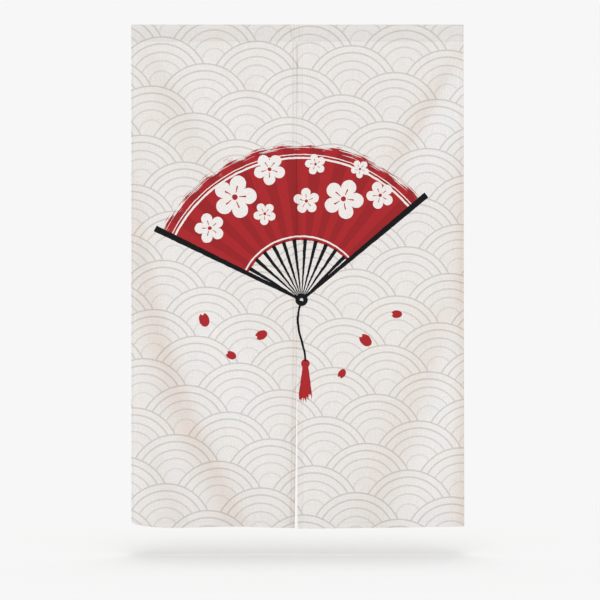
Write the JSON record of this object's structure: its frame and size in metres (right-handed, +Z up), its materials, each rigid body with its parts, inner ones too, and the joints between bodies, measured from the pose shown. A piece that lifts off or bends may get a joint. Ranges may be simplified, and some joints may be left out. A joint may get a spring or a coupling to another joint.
{
  "type": "noren curtain",
  "caption": "Short split door curtain of printed off-white cloth: two hemmed panels sewn together at the top under a rod pocket, hanging in soft folds.",
  "frame": {"origin": "middle of the curtain's top edge, at the top of the rod pocket", "axes": "+Z up along the hanging cloth, +X to the viewer's right, -Y towards the viewer, out of the printed face"},
  "size_m": [0.795, 0.025, 1.2005],
  "materials": {
    "panel_cloth": "matte woven polyester and linen blend, printed on the front",
    "pocket_cloth": "the same cloth, doubled"
  },
  "bodies": {
    "root": {"heading": "pocket_cloth", "left_panel": "panel_cloth", "right_panel": "panel_cloth"}
  },
  "joints": []
}
